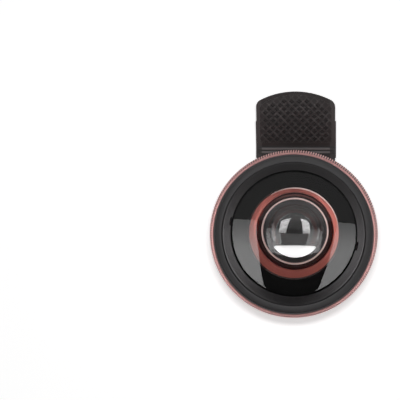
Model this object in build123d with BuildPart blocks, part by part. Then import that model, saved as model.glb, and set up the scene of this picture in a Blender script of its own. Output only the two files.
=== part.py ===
from build123d import *
from math import acos, asin, atan2, cos, degrees, pi, radians, sin, sqrt, tan
import os

# Clip-on phone lens: a wide-angle lens screwed onto a macro lens, held by a sprung clip.
# All sizes in millimetres. The optical axis is Z, the levers point towards +Y, and the
# flat outer face of the rear arm lies at Z = 0.

os.makedirs("parts", exist_ok=True)

# Clearances
slide_fit = 0.05  # radial gap of threads, pin and other running fits
press_gap = 0.02  # radial gap of pieces that are screwed or glued in for good
unit_gap = 0.1  # axial gap where one screwed unit meets the next
ear_gap = 0.3  # sideways gap between the ears of the two arms
leg_gap = 0.05  # gap between a spring leg and its lever

# Clip: thicknesses along the optical axis, from the rest face upwards
rear_plate = 2.8
rear_land = 2.2
rear_pad_thickness = 1.8
jaw_gap = 0.3
front_pad_thickness = 1.5
front_plate = 3.2
boss_height = 0.8

# Clip: plan sizes
clip_width = 25.2
jaw_tip_reach = 5.0  # rear jaw past the optical axis
jaw_back_y = 11.0  # where the raised jaw land ends
pivot_y = 25.5
lever_length = 18.9  # from the pivot to the lever's tip
lever_bend_run = 1.5  # from the pivot to the bend of the front lever
lever_angle = 25.0
lever_thickness = 2.6
lever_crown = 3.4  # rise of the arched lever end
lever_corner = 2.4
ring_wall = 3.9  # ring of the front arm, around its bore
boss_wall = 2.6
neck_fillet = 3.0  # where the arm's ring runs into its straight sides
jaw_corner = 2.5
edge_round = 0.5

# Clip: hinge
pin_radius = 1.0
ear_radius = 2.4
ear_thickness = 2.0
wall_thickness = 2.0
wall_run = 0.8  # from the start of a side wall to the bend under the lever
wall_depth_root = 2.2
wall_depth_tip = 1.2
cheek_relief = 0.3
cheek_run = 8.0  # from the lever's bend to the end of a cheek
rib_radius = 0.45
rib_spacing = 1.1
rib_inset = 0.5
rear_rib_height = 1.0
gate_width = 0.9
gate_height = 0.45
gate_x = -0.5

# Clip: diamond grip pads
pad_run = 1.1  # from the lever's bend to the pad
pad_border = 1.1
pad_thickness = 0.9
diamond_width = 2.4
diamond_ridge = 0.45
diamond_depth = 0.35
diamond_taper = 35.0

# Spring
wire_radius = 0.4
coil_radius = 1.9
coil_gap = 0.15  # between the turns
coil_turns = 3
leg_reach = 9.0
well_width = 9.0
well_depth = 0.9

# Macro unit
macro_lens_radius = 11.6
macro_seat_width = 1.45
macro_edge = 1.5
macro_front_curve = 90.0
macro_rear_curve = 26.5
macro_seat_height = 3.5  # from the collar's lower face up to the lens seat
macro_exit_step = 0.4  # by which the throat narrows towards its exit
spigot_wall = 1.5  # rear spigot, around the throat
spigot_length = 3.7
collar_wall = 2.25  # from the thread out to the tips of the collar's teeth
collar_height = 5.0
collar_chamfer = 0.5
collar_teeth = 90
collar_tooth_depth = 0.4
macro_thread_wall = 2.33
macro_thread_length = 3.0
macro_mouth_chamfer = 0.5
macro_ring_height = 2.0

# Wide-angle unit
cavity_depth = 18.0  # from the macro unit's front face up to the front lens
front_lens_radius = 21.0
front_curve = 65.0
front_lens_centre = 2.5
rear_curve = 28.0
front_seat_width = 1.6
rear_clear_radius = 13.6
lens_ring_height = 2.7
lens_ring_overlap = 1.3  # lens ring beyond the lens, on the barrel's ledge
lens_ring_lip = 0.35
filter_ledge = 1.88  # inner flange of the filter ring, which makes a 49 mm thread
filter_ring_wall = 0.4
filter_floor = 1.31  # thickness of the flange at the foot of the filter ring
dome_gap = 0.25  # from the lens's crown up to where a screwed-in filter ends
filter_length = 2.4
rim_wall = 1.38
rim_lip = 0.3  # rim above the filter ring
rim_band_height = 4.6
rim_chamfer = 0.55
rim_teeth = 208
rim_tooth_depth = 0.42
waist_groove = 0.5
shoulder_step = 0.7  # shoulder inside the rim's tooth tips
shoulder_height = 1.6
neck_wall = 4.0
neck_height = 7.4
neck_groove = 0.5
bowl_bulge = 0.6
cavity_taper = 0.7

# Spanner notches of the two lens rings
notch_width = 2.2
notch_depth = 0.9
lens_notch_angle = -11.0
macro_notch_angle = 2.0

# Heights worked out from the stack
rear_top = rear_plate
land_top = rear_top + rear_land
rear_pad_top = land_top + rear_pad_thickness
front_pad_bottom = rear_pad_top + jaw_gap
front_bottom = front_pad_bottom + front_pad_thickness
front_top = front_bottom + front_plate
boss_top = front_top + boss_height
pivot_z = (rear_top + front_bottom) / 2
collar_top = boss_top + collar_height
macro_face = collar_top + macro_thread_length
macro_seat = boss_top + macro_seat_height
macro_ring_bottom = macro_seat + macro_edge

# Radii worked out from the lenses outwards
macro_clear_radius = macro_lens_radius - macro_seat_width
macro_exit_radius = macro_clear_radius - macro_exit_step
spigot_radius = macro_clear_radius + spigot_wall
bore_radius = spigot_radius + slide_fit
front_ring_radius = bore_radius + ring_wall
macro_thread_radius = macro_lens_radius + press_gap + macro_thread_wall
collar_radius = macro_thread_radius + collar_wall
thread_bore = macro_thread_radius + slide_fit
neck_radius = thread_bore + neck_wall
front_clear_radius = front_lens_radius - front_seat_width
lens_ring_radius = front_lens_radius + lens_ring_overlap
filter_thread_radius = lens_ring_radius + press_gap + filter_ledge
rim_bore = filter_thread_radius + filter_ring_wall + press_gap
rim_radius = rim_bore + rim_wall
shoulder_radius = rim_radius - shoulder_step

# Places along the clip
lever_bend_y = pivot_y + lever_bend_run
lever_tip_y = pivot_y + lever_length
cheek_end_y = lever_bend_y + cheek_run
pad_start_y = lever_bend_y + pad_run


def sag(curve, reach):
    """Height that a spherical face of this radius loses at this distance from the axis."""
    return curve - sqrt(curve**2 - reach**2)


front_vertex = macro_face + cavity_depth
lens_ring_bottom = front_vertex - sag(front_curve, front_clear_radius)
rear_vertex = front_vertex - front_lens_centre
front_seat = rear_vertex - sag(rear_curve, rear_clear_radius)
lens_ring_top = lens_ring_bottom + lens_ring_height
filter_floor_top = front_vertex + dome_gap
filter_seat = filter_floor_top - filter_floor
filter_top = filter_floor_top + filter_length
rim_top = filter_top + rim_lip
rim_bottom = rim_top - rim_band_height

# Plan and slope of the levers
tilt = radians(lever_angle)
wall_inner = clip_width / 2 - wall_thickness
ear_outer = wall_inner - ear_gap
under_bend_y = lever_bend_y + (lever_thickness / cos(tilt) - front_plate) / tan(tilt)


def lever_top(y):
    """Height of the front lever's upper face at this y."""
    return front_top + (y - lever_bend_y) * tan(tilt)


def lever_under(y):
    """Height of the front lever's lower face at this y."""
    return lever_top(y) - lever_thickness / cos(tilt)


def lever_plan(inset, start_y):
    """Plan of a lever end: straight sides, arched tip, rounded corners, drawn in by the inset."""
    half = clip_width / 2 - inset
    tip = lever_tip_y - inset
    with BuildSketch() as plan:
        with BuildLine():
            left, right = (-half, tip - lever_crown), (half, tip - lever_crown)
            Polyline(right, (half, start_y), (-half, start_y), left)
            ThreePointArc(left, (0, tip), right)
        make_face()
        fillet(plan.vertices().group_by(Axis.Y)[-1], lever_corner - inset / 2)
    return plan.sketch


def diamond_centres():
    """Centres of the whole diamonds that fit in a grip pad's field, in two interleaved grids."""
    half = clip_width / 2 - pad_border
    crown_radius = (half**2 + lever_crown**2) / (2 * lever_crown)
    crown_centre_y = lever_tip_y - pad_border - crown_radius
    step = diamond_width / 2
    centres = []
    rows = int((lever_tip_y - pad_start_y) / step)
    columns = int(half / step)
    for row in range(1, rows):
        for column in range(-columns, columns + 1):
            x, y = column * step, pad_start_y + row * step
            inside = abs(x) <= half - step and x**2 + (y + step - crown_centre_y) ** 2 < crown_radius**2
            if (row + column) % 2 == 0 and inside:
                centres.append((x, y))
    return centres


def toothed_ring(height, tip_radius, root_radius, teeth):
    """Sketch of a straight knurl seen along the axis, with a tip and a root for each tooth."""
    corners = []
    for tooth in range(teeth):
        for radius, turn in ((tip_radius, tooth), (root_radius, tooth + 0.5)):
            angle = 2 * pi * turn / teeth
            corners.append((radius * cos(angle), radius * sin(angle)))
    with BuildSketch(Plane.XY.offset(height)) as ring:
        with BuildLine():
            Polyline(*corners, close=True)
        make_face()
    return ring.sketch


def knurled_band(tip_radius, depth, teeth, inner_radius, bottom, top, chamfer_size):
    """A ring with a straight knurl whose grooves run out in a chamfer at the upper rim."""
    root_radius, end_radius = tip_radius - depth, tip_radius - chamfer_size
    sections = [
        toothed_ring(bottom, tip_radius, root_radius, teeth),
        toothed_ring(top - chamfer_size, tip_radius, root_radius, teeth),
        toothed_ring(top, end_radius, end_radius, teeth),
    ]
    with BuildPart() as band:
        loft(sections=sections, ruled=True)
        with BuildSketch(Plane.XY.offset(bottom)):
            Circle(inner_radius)
        extrude(amount=top - bottom, mode=Mode.SUBTRACT)
    return band.part


def dome(vertex, curve, reach, direction):
    """Arc of a spherical lens face from the axis to its rim, which lies below (-1) or above (1)."""
    middle = curve * sin(asin(reach / curve) / 2)
    return ThreePointArc(
        (0, vertex),
        (middle, vertex + direction * sag(curve, middle)),
        (reach, vertex + direction * sag(curve, reach)),
    )


# Rear arm: the flat half of the clip, with the jaw land, the inner ears and the rear lever
with BuildPart() as rear_arm:
    with BuildSketch():
        add(lever_plan(0, 0))
        with Locations((0, -jaw_tip_reach)):
            Rectangle(clip_width, jaw_tip_reach + lever_bend_y, align=(Align.CENTER, Align.MIN))
    extrude(amount=rear_plate)
    with BuildSketch(Plane.XY.offset(rear_top)):
        with Locations((0, -jaw_tip_reach)):
            Rectangle(clip_width, jaw_tip_reach + jaw_back_y, align=(Align.CENTER, Align.MIN))
    extrude(amount=rear_land)
    fillet(rear_arm.edges().filter_by(Axis.Z).group_by(Axis.Y)[0], jaw_corner)
    back_edge = rear_arm.edges().filter_by(Axis.X).group_by(Axis.Z)[-1].sort_by(Axis.Y)[-1]
    chamfer(back_edge, rear_land * 0.6)
    for side in (-1, 1):
        with BuildSketch(Plane.YZ.offset(side * ear_outer)):
            with Locations((pivot_y, pivot_z)):
                Circle(ear_radius)
            with Locations((pivot_y, rear_top)):
                Rectangle(2 * ear_radius, pivot_z - rear_top, align=(Align.CENTER, Align.MIN))
        extrude(amount=-side * ear_thickness)
        with BuildSketch(Plane.YZ.offset(side * clip_width / 2)):
            with Locations((pad_start_y, rear_top)):
                Rectangle(
                    lever_tip_y - lever_crown - lever_corner - pad_start_y,
                    rear_rib_height,
                    align=(Align.MIN, Align.MIN),
                )
        extrude(amount=-side * wall_thickness)
    with BuildSketch(Plane.YZ.offset(-clip_width)):
        with Locations((pivot_y, pivot_z)):
            Circle(pin_radius + slide_fit)
    extrude(amount=2 * clip_width, mode=Mode.SUBTRACT)
    with BuildSketch():
        add(lever_plan(pad_border - press_gap, pad_start_y - press_gap))
    extrude(amount=pad_thickness, mode=Mode.SUBTRACT)
    chamfer(rear_arm.edges().group_by(Axis.Z)[0].filter_by(Axis.Y).group_by(SortBy.LENGTH)[-1], edge_round)
rear_arm.part.label = "rear_arm"
export_step(rear_arm.part, "parts/rear_arm.step")

# Rear grip pad, flush with the outer face of the rear lever
with BuildPart() as rear_grip_pad:
    with BuildSketch():
        add(lever_plan(pad_border, pad_start_y))
    extrude(amount=pad_thickness)
    with BuildSketch():
        with Locations(*diamond_centres()):
            Rectangle(
                diamond_width / sqrt(2) - diamond_ridge,
                diamond_width / sqrt(2) - diamond_ridge,
                rotation=45,
            )
    extrude(amount=diamond_depth, taper=diamond_taper, mode=Mode.SUBTRACT)
rear_grip_pad.part.label = "rear_grip_pad"
export_step(rear_grip_pad.part, "parts/rear_grip_pad.step")

# Rear jaw pad, glued on the land
with BuildPart() as rear_pad:
    with BuildSketch(Plane.XY.offset(land_top)):
        with Locations((0, -jaw_tip_reach + edge_round)):
            RectangleRounded(
                clip_width - 4 * edge_round,
                jaw_tip_reach + jaw_back_y - rear_land,
                jaw_corner - edge_round,
                align=(Align.CENTER, Align.MIN),
            )
    extrude(amount=rear_pad_thickness)
    chamfer(rear_pad.edges().group_by(Axis.Z)[-1], edge_round)
rear_pad.part.label = "rear_pad"
export_step(rear_pad.part, "parts/rear_pad.step")


def lever_layer(inset, start_y, upper, lower):
    """A slice of the front lever between two depths below its upper face, inside its inset plan."""
    start, end = start_y - lever_thickness, lever_tip_y + lever_thickness
    with BuildPart() as layer:
        with BuildSketch(Plane.YZ.offset(-clip_width / 2)):
            with BuildLine():
                Polyline(
                    (start, lever_top(start) - lower / cos(tilt)),
                    (end, lever_top(end) - lower / cos(tilt)),
                    (end, lever_top(end) - upper / cos(tilt)),
                    (start, lever_top(start) - upper / cos(tilt)),
                    close=True,
                )
            make_face()
        extrude(amount=clip_width)
        with BuildSketch():
            add(lever_plan(inset, start_y))
        extrude(amount=2 * lever_top(end), mode=Mode.INTERSECT)
    return layer.part


# Front arm: the ring that holds the lens, the outer ears, the two ribs and the sloping lever
with BuildPart() as front_arm:
    slab_start, slab_end = -2 * front_ring_radius, lever_tip_y + lever_thickness
    with BuildSketch(Plane.YZ.offset(-clip_width)):
        with BuildLine():
            Polyline(
                (slab_start, front_bottom),
                (under_bend_y, front_bottom),
                (slab_end, lever_under(slab_end)),
                (slab_end, lever_top(slab_end)),
                (lever_bend_y, front_top),
                (slab_start, front_top),
                close=True,
            )
        make_face()
    extrude(amount=2 * clip_width)
    for side in (-1, 1):
        with BuildSketch(Plane.YZ.offset(side * clip_width / 2)):
            with BuildLine():
                Polyline(
                    (under_bend_y - wall_run, front_bottom),
                    (under_bend_y, front_bottom - wall_depth_root),
                    (slab_end, lever_under(slab_end) - wall_depth_tip),
                    (slab_end, lever_under(slab_end) + edge_round),
                    (under_bend_y, front_bottom + edge_round),
                    (under_bend_y - wall_run, front_bottom + edge_round),
                    close=True,
                )
            make_face()
        extrude(amount=-side * wall_thickness)
    with BuildSketch() as arm_plan:
        Circle(front_ring_radius)
        add(lever_plan(0, 0))
        neck_y = sqrt(front_ring_radius**2 - (clip_width / 2) ** 2)
        fillet(arm_plan.vertices().filter_by_position(Axis.Y, neck_y - 0.01, neck_y + 0.01), neck_fillet)
    extrude(amount=2 * lever_top(slab_end), mode=Mode.INTERSECT)
    for side in (-1, 1):
        with BuildSketch(Plane.YZ.offset(side * (clip_width / 2 + cheek_relief))):
            with Locations((pivot_y, pivot_z)):
                Circle(ear_radius)
            with BuildLine():
                Polyline(
                    (pivot_y - ear_radius, pivot_z),
                    (pivot_y + ear_radius, pivot_z),
                    (cheek_end_y, lever_under(cheek_end_y) - edge_round),
                    (cheek_end_y, lever_under(cheek_end_y) + lever_thickness / 2),
                    (lever_bend_y, front_bottom + front_plate / 2),
                    (pivot_y - ear_radius, front_bottom + front_plate / 2),
                    close=True,
                )
            make_face()
        extrude(amount=-side * (wall_thickness + cheek_relief))
    with BuildSketch(Plane.XY.offset(front_top)):
        Circle(bore_radius + boss_wall)
    extrude(amount=boss_height)
    with BuildSketch(Plane.XY.offset(front_bottom)):
        Circle(bore_radius)
    extrude(amount=front_plate + boss_height, mode=Mode.SUBTRACT)
    with BuildSketch(Plane.YZ.offset(-clip_width)):
        with Locations((pivot_y, pivot_z)):
            Circle(pin_radius)
    extrude(amount=2 * clip_width, mode=Mode.SUBTRACT)
    rib_y = lever_bend_y - 2 * rib_radius
    with BuildSketch(Plane.YZ.offset(rib_inset - clip_width / 2)):
        with Locations((rib_y, front_top), (rib_y - rib_spacing, front_top)):
            Circle(rib_radius)
    extrude(amount=clip_width - 2 * rib_inset)
    with BuildSketch(Plane.YZ.offset(-well_width / 2)):
        with BuildLine():
            Polyline(
                (pivot_y - coil_radius - 2 * wire_radius, front_bottom),
                (under_bend_y, front_bottom),
                (pivot_y + leg_reach, lever_under(pivot_y + leg_reach)),
                (pivot_y + leg_reach, lever_under(pivot_y + leg_reach) + well_depth / cos(tilt)),
                (under_bend_y - well_depth * tan(tilt / 2), front_bottom + well_depth),
                (pivot_y - coil_radius - 2 * wire_radius, front_bottom + well_depth),
                close=True,
            )
        make_face()
    extrude(amount=well_width, mode=Mode.SUBTRACT)
    pocket_border, pocket_start_y = pad_border - press_gap, pad_start_y - press_gap
    add(lever_layer(pocket_border, pocket_start_y, -pad_thickness, pad_thickness), mode=Mode.SUBTRACT)
    with BuildSketch(Plane.XY.offset(lever_under(lever_tip_y) + edge_round)):
        with Locations((gate_x, lever_tip_y - gate_height)):
            Rectangle(gate_width, 2 * gate_height)
    extrude(amount=lever_thickness - 2 * edge_round)
front_arm.part.label = "front_arm"
export_step(front_arm.part, "parts/front_arm.step")

# Front grip pad, flush with the upper face of the front lever
with BuildPart() as front_grip_pad:
    add(lever_layer(pad_border, pad_start_y, 0, pad_thickness))
    pad_corner = (0, pad_start_y, lever_top(pad_start_y))
    with BuildSketch(Plane(origin=pad_corner, x_dir=(1, 0, 0), z_dir=(0, -sin(tilt), cos(tilt)))):
        with Locations(*[(x, (y - pad_start_y) / cos(tilt)) for x, y in diamond_centres()]):
            Rectangle(
                diamond_width / sqrt(2) - diamond_ridge,
                diamond_width / sqrt(2) - diamond_ridge,
                rotation=45,
            )
    extrude(amount=-diamond_depth, taper=diamond_taper, mode=Mode.SUBTRACT)
front_grip_pad.part.label = "front_grip_pad"
export_step(front_grip_pad.part, "parts/front_grip_pad.step")

# Front jaw pad: a soft ring around the lens, glued under the front arm
with BuildPart() as front_pad:
    with BuildSketch(Plane.XY.offset(front_pad_bottom)):
        Circle(front_ring_radius - edge_round)
        Circle(bore_radius, mode=Mode.SUBTRACT)
    extrude(amount=front_pad_thickness)
    chamfer(front_pad.edges().group_by(Axis.Z)[0], edge_round)
front_pad.part.label = "front_pad"
export_step(front_pad.part, "parts/front_pad.step")

# Pivot pin through all four ears
with BuildPart() as pivot_pin:
    pin_half = clip_width / 2 + cheek_relief
    with BuildSketch(Plane.YZ.offset(-pin_half)):
        with Locations((pivot_y, pivot_z)):
            Circle(pin_radius)
    extrude(amount=2 * pin_half)
    chamfer(pivot_pin.edges().filter_by(GeomType.CIRCLE), pin_radius / 5)
pivot_pin.part.label = "pivot_pin"
export_step(pivot_pin.part, "parts/pivot_pin.step")

# Torsion spring: a coil around the pin with one leg in each lever
coil_pitch = 2 * wire_radius + coil_gap
coil_outer = coil_radius + wire_radius
leg_diagonal = sqrt(leg_reach**2 + coil_outer**2)
leg_corner = atan2(leg_reach, coil_outer)
lever_distance = (front_bottom - pivot_z) * cos(tilt) - (under_bend_y - pivot_y) * sin(tilt)
front_ceiling = lever_distance + well_depth - leg_gap
rear_floor = pivot_z - rear_top - leg_gap
front_leg = tilt + leg_corner - acos(front_ceiling / leg_diagonal)
rear_leg = leg_corner - acos(rear_floor / leg_diagonal)
coil_turn = coil_turns - (front_leg + rear_leg) / (2 * pi) - 0.5
coil_length = coil_pitch * coil_turn
coil_plane = Plane(
    origin=(coil_length / 2, pivot_y, pivot_z),
    x_dir=(0, -sin(rear_leg), -cos(rear_leg)),
    z_dir=(-1, 0, 0),
)
coil = coil_plane * Helix(coil_pitch, coil_length, coil_radius)
with BuildPart() as torsion_spring:
    with BuildLine() as wire:
        add(coil)
        Line((coil @ 0) - (coil % 0) * leg_reach, coil @ 0)
        Line(coil @ 1, (coil @ 1) + (coil % 1) * leg_reach)
    with BuildSketch(Plane(origin=wire.wire() @ 0, z_dir=wire.wire() % 0)):
        Circle(wire_radius)
    sweep(path=wire.wire())
torsion_spring.part.label = "torsion_spring"
export_step(torsion_spring.part, "parts/torsion_spring.step")

# Macro barrel: rear spigot in the clip, knurled collar, threaded front spigot
with BuildPart() as macro_barrel:
    with BuildSketch(Plane.XZ):
        with BuildLine():
            Polyline(
                (macro_exit_radius, boss_top - spigot_length),
                (spigot_radius, boss_top - spigot_length),
                (spigot_radius, boss_top),
                (macro_thread_radius, boss_top),
                (macro_thread_radius, macro_face),
                (macro_lens_radius + press_gap + macro_mouth_chamfer, macro_face),
                (macro_lens_radius + press_gap, macro_face - macro_mouth_chamfer),
                (macro_lens_radius + press_gap, macro_seat),
                (macro_clear_radius, macro_seat),
                close=True,
            )
        make_face()
    revolve(axis=Axis.Z)
    collar_tooth = (collar_radius, collar_tooth_depth, collar_teeth)
    add(knurled_band(*collar_tooth, macro_thread_radius, boss_top, collar_top, collar_chamfer))
macro_barrel.part.label = "macro_barrel"
export_step(macro_barrel.part, "parts/macro_barrel.step")

# Macro lens: a thick positive lens with flat seats round both faces
with BuildPart() as macro_lens:
    front_macro_vertex = macro_ring_bottom + sag(macro_front_curve, macro_clear_radius)
    rear_macro_vertex = macro_seat - sag(macro_rear_curve, macro_clear_radius - slide_fit)
    with BuildSketch(Plane.XZ):
        with BuildLine():
            upper = dome(front_macro_vertex, macro_front_curve, macro_clear_radius, -1)
            lower = dome(rear_macro_vertex, macro_rear_curve, macro_clear_radius - slide_fit, 1)
            Polyline(
                upper @ 1,
                (macro_lens_radius, macro_ring_bottom),
                (macro_lens_radius, macro_seat),
                lower @ 1,
            )
            Line(lower @ 0, upper @ 0)
        make_face()
    revolve(axis=Axis.Z)
macro_lens.part.label = "macro_lens"
export_step(macro_lens.part, "parts/macro_lens.step")

# Macro lens ring, with two spanner notches
with BuildPart() as macro_lock_ring:
    with BuildSketch(Plane.XZ):
        with BuildLine():
            Polyline(
                (macro_clear_radius, macro_ring_bottom),
                (macro_lens_radius, macro_ring_bottom),
                (macro_lens_radius, macro_ring_bottom + macro_ring_height),
                (macro_lens_radius - lens_ring_lip, macro_ring_bottom + macro_ring_height),
                (macro_clear_radius, macro_ring_bottom + lens_ring_lip),
                close=True,
            )
        make_face()
    revolve(axis=Axis.Z)
    with BuildSketch(Plane.XY.offset(macro_ring_bottom + lens_ring_lip)):
        with PolarLocations(macro_clear_radius, 2, start_angle=macro_notch_angle):
            Rectangle(notch_depth, notch_width)
    extrude(amount=macro_ring_height, mode=Mode.SUBTRACT)
macro_lock_ring.part.label = "macro_lock_ring"
export_step(macro_lock_ring.part, "parts/macro_lock_ring.step")

# Wide barrel: knurled rim, tapered bowl and threaded neck
with BuildPart() as wide_barrel:
    neck_bottom = collar_top + unit_gap
    neck_top = neck_bottom + neck_height
    cavity_bottom = macro_face + unit_gap
    shoulder_bottom = rim_bottom - 2 * waist_groove - shoulder_height
    bowl_middle = (
        (neck_radius + shoulder_radius) / 2 + bowl_bulge,
        (neck_top + shoulder_bottom) / 2 - bowl_bulge,
    )
    with BuildSketch(Plane.XZ):
        with BuildLine():
            Polyline(
                (neck_radius, neck_top),
                (neck_radius - neck_groove, neck_top - neck_groove),
                (neck_radius - neck_groove, neck_top - 2 * neck_groove),
                (neck_radius, neck_top - 3 * neck_groove),
                (neck_radius, neck_bottom + neck_groove),
                (neck_radius - neck_groove, neck_bottom),
                (thread_bore, neck_bottom),
                (thread_bore, cavity_bottom),
                (thread_bore + cavity_taper, front_seat),
                (front_lens_radius + slide_fit, front_seat),
                (front_lens_radius + slide_fit, lens_ring_bottom),
                (lens_ring_radius + press_gap, lens_ring_bottom),
                (lens_ring_radius + press_gap, filter_seat),
                (rim_bore, filter_seat),
                (rim_bore, rim_top - edge_round / 2),
                (rim_bore + edge_round / 2, rim_top),
                (rim_bore + edge_round, rim_top),
                (rim_bore + edge_round, rim_bottom),
                (shoulder_radius - waist_groove, rim_bottom),
                (shoulder_radius - waist_groove, rim_bottom - waist_groove),
                (shoulder_radius, rim_bottom - 2 * waist_groove),
                (shoulder_radius, shoulder_bottom),
            )
            ThreePointArc((shoulder_radius, shoulder_bottom), bowl_middle, (neck_radius, neck_top))
        make_face()
    revolve(axis=Axis.Z)
    rim_tooth = (rim_radius, rim_tooth_depth, rim_teeth)
    add(knurled_band(*rim_tooth, rim_bore + edge_round, rim_bottom, rim_top, rim_chamfer))
wide_barrel.part.label = "wide_barrel"
export_step(wide_barrel.part, "parts/wide_barrel.step")

# Front lens: a meniscus, hollow at the back, with flat seats round both faces
with BuildPart() as front_lens:
    with BuildSketch(Plane.XZ):
        with BuildLine():
            upper = dome(front_vertex, front_curve, front_clear_radius, -1)
            lower = dome(rear_vertex, rear_curve, rear_clear_radius, -1)
            Polyline(
                upper @ 1,
                (front_lens_radius, lens_ring_bottom),
                (front_lens_radius, front_seat),
                lower @ 1,
            )
            Line(lower @ 0, upper @ 0)
        make_face()
    revolve(axis=Axis.Z)
front_lens.part.label = "front_lens"
export_step(front_lens.part, "parts/front_lens.step")

# Lens ring: a black cone that holds the front lens down, with two spanner notches
with BuildPart() as lens_lock_ring:
    with BuildSketch(Plane.XZ):
        with BuildLine():
            Polyline(
                (front_clear_radius, lens_ring_bottom),
                (lens_ring_radius, lens_ring_bottom),
                (lens_ring_radius, lens_ring_top),
                (lens_ring_radius - lens_ring_lip, lens_ring_top),
                (front_clear_radius, lens_ring_bottom + lens_ring_lip),
                close=True,
            )
        make_face()
    revolve(axis=Axis.Z)
    with BuildSketch(Plane.XY.offset(lens_ring_bottom + lens_ring_lip / 2)):
        with PolarLocations(front_clear_radius, 2, start_angle=lens_notch_angle):
            Rectangle(notch_depth, notch_width)
    extrude(amount=lens_ring_height, mode=Mode.SUBTRACT)
lens_lock_ring.part.label = "lens_lock_ring"
export_step(lens_lock_ring.part, "parts/lens_lock_ring.step")

# Filter ring: the black threaded liner of the rim
with BuildPart() as filter_ring:
    with BuildSketch(Plane.XZ):
        with BuildLine():
            Polyline(
                (lens_ring_radius + press_gap, filter_seat),
                (filter_thread_radius + filter_ring_wall, filter_seat),
                (filter_thread_radius + filter_ring_wall, filter_top),
                (filter_thread_radius, filter_top),
                (filter_thread_radius, filter_floor_top),
                (lens_ring_radius + press_gap, filter_floor_top),
                close=True,
            )
        make_face()
    revolve(axis=Axis.Z)
filter_ring.part.label = "filter_ring"
export_step(filter_ring.part, "parts/filter_ring.step")

print("Rim top at", round(rim_top, 3), "and front lens vertex at", round(front_vertex, 3))
print("Pivot at y", pivot_y, "z", round(pivot_z, 3), "coil turns", round(coil_turn, 3))
print("Leg angles", round(degrees(front_leg), 2), round(degrees(rear_leg), 2))
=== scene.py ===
"""Looks of a clip-on phone lens: turned rings, ground glass, moulded clip, wound spring, studio.

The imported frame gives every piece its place. The moulded arms, the soft pads, the macro lens's ring and the
pin stay as the frame has them and are dressed here. The barrels, the threaded liner, the black cone, the two
lenses and the spring are built again with finer curves, real threads and softened edges, each in the form
and the space of the piece that it stands for.
"""

import logging
import math
from dataclasses import dataclass, field
from enum import Enum
from typing import Callable, Sequence

import bmesh
import bpy
from mathutils import Matrix, Vector


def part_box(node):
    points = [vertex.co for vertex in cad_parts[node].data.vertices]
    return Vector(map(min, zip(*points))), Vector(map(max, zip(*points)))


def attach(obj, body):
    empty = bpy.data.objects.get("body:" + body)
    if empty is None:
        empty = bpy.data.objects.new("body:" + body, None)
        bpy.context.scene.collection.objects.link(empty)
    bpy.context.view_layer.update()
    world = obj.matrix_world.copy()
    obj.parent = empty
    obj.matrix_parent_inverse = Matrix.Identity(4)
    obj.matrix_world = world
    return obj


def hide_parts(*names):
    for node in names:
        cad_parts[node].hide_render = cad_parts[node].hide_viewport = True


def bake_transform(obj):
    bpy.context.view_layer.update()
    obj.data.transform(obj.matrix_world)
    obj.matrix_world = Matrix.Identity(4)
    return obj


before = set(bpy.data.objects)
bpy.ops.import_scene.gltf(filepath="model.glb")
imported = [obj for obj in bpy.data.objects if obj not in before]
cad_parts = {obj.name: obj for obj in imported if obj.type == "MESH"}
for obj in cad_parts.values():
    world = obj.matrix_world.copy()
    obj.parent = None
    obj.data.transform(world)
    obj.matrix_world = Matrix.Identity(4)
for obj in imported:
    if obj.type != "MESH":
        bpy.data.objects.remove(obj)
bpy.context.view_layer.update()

LOG = logging.getLogger("phone_lens")
MM = 0.001
RIM_TEETH = 208
COLLAR_TEETH = 90

Ring = tuple[float, float]
Plan = tuple[float, float]
Colour = tuple[float, float, float]
Rule = Callable[[float, float, float], float]


class Body(Enum):
    """Names of the moving bodies that pieces ride on."""

    CLIP = "clip_front"
    REAR = "rear_jaw"
    MACRO_GLASS = "macro_travel"
    MACRO = "macro_unit"
    WIDE_GLASS = "wide_travel"
    WIDE = "wide_unit"


class Look(Enum):
    """Names of the object's finishes."""

    SATIN = "rose_gold_satin"
    RIM = "rose_gold_knurled_rim"
    COLLAR = "rose_gold_knurled_collar"
    TURNED = "rose_gold_turned"
    SHADED_BORE = "rose_gold_bore_shaded"
    SHADED_FACE = "rose_gold_face_shaded"
    BRIGHT = "rose_gold_bright_cut"
    BLACK = "black_anodised"
    LIT_CONE = "black_cone_lit"
    PAINT = "lens_edge_black"
    GLASS = "coated_glass"
    REAR_FACE = "macro_glass_rear"
    PLASTIC = "clip_plastic"
    GRIP = "grip_rubber"
    PAD = "jaw_rubber"
    STEEL = "spring_steel"


# Shader node groups


def new_group(name: str, inputs: Sequence[tuple[str, float]], outputs: Sequence[str]) -> bpy.types.NodeTree:
    """Makes an empty shader group with number sockets.

    Args:
        name: name of the group.
        inputs: pairs of socket name and default value.
        outputs: names of the number outputs.

    Returns:
        The group, with its input and output nodes in place.
    """
    group = bpy.data.node_groups.new(name, "ShaderNodeTree")
    for label, value in inputs:
        socket = group.interface.new_socket(label, in_out="INPUT", socket_type="NodeSocketFloat")
        socket.default_value = value
    for label in outputs:
        group.interface.new_socket(label, in_out="OUTPUT", socket_type="NodeSocketFloat")
    group.nodes.new("NodeGroupInput")
    group.nodes.new("NodeGroupOutput")
    return group


def reckon(tree: bpy.types.NodeTree, kind: str, first: object, second: object = None) -> bpy.types.NodeSocket:
    """Adds a Math node and returns its output.

    Args:
        tree: tree that gets the node.
        kind: Math operation, such as MULTIPLY.
        first: socket or number for the first input.
        second: socket or number for the second input.

    Returns:
        The output socket of the new node.
    """
    node = tree.nodes.new("ShaderNodeMath")
    node.operation = kind
    for slot, value in zip(node.inputs, (first, second)):
        if isinstance(value, (int, float)):
            slot.default_value = value
        elif value is not None:
            tree.links.new(value, slot)
    return node.outputs[0]


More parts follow.
